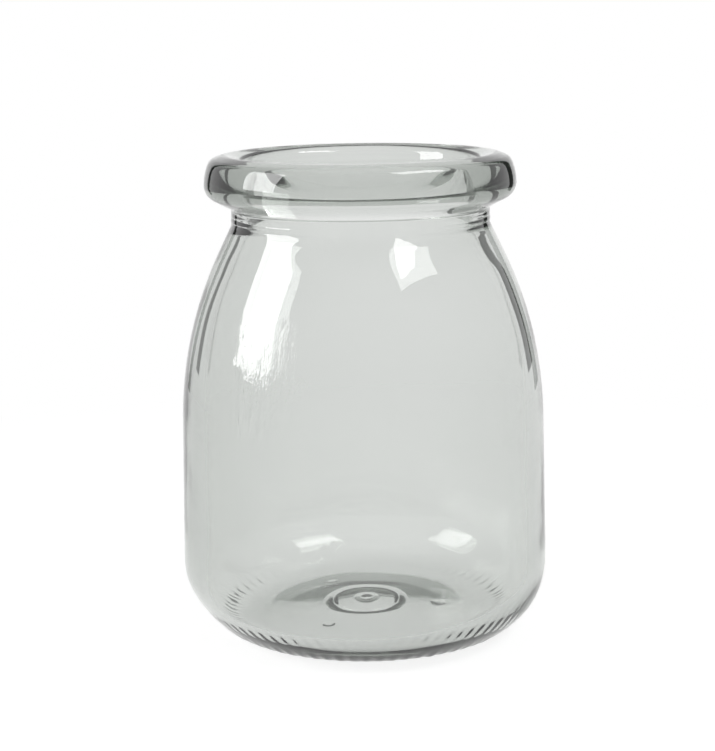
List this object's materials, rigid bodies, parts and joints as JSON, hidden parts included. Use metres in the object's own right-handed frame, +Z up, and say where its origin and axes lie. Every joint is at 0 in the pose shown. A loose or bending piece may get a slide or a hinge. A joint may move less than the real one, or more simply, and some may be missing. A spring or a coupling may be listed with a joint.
{
  "type": "pudding jar",
  "caption": "Small empty clear glass jar with a thick rounded rim, short neck, sloping shoulder, straight body and a heavy round-edged base.",
  "frame": {"origin": "centre of the ring that the jar stands on, on the table surface", "axes": "+Z up along the jar's axis of symmetry, towards the open mouth; +X and +Y lie on the table"},
  "size_m": [0.0658, 0.0658, 0.0858],
  "materials": {
    "glass": "clear, glossy, slightly wavy pressed soda-lime glass with a faint green tint at its thick edges"
  },
  "bodies": {
    "root": {"glass_jar": "glass"}
  },
  "joints": []
}
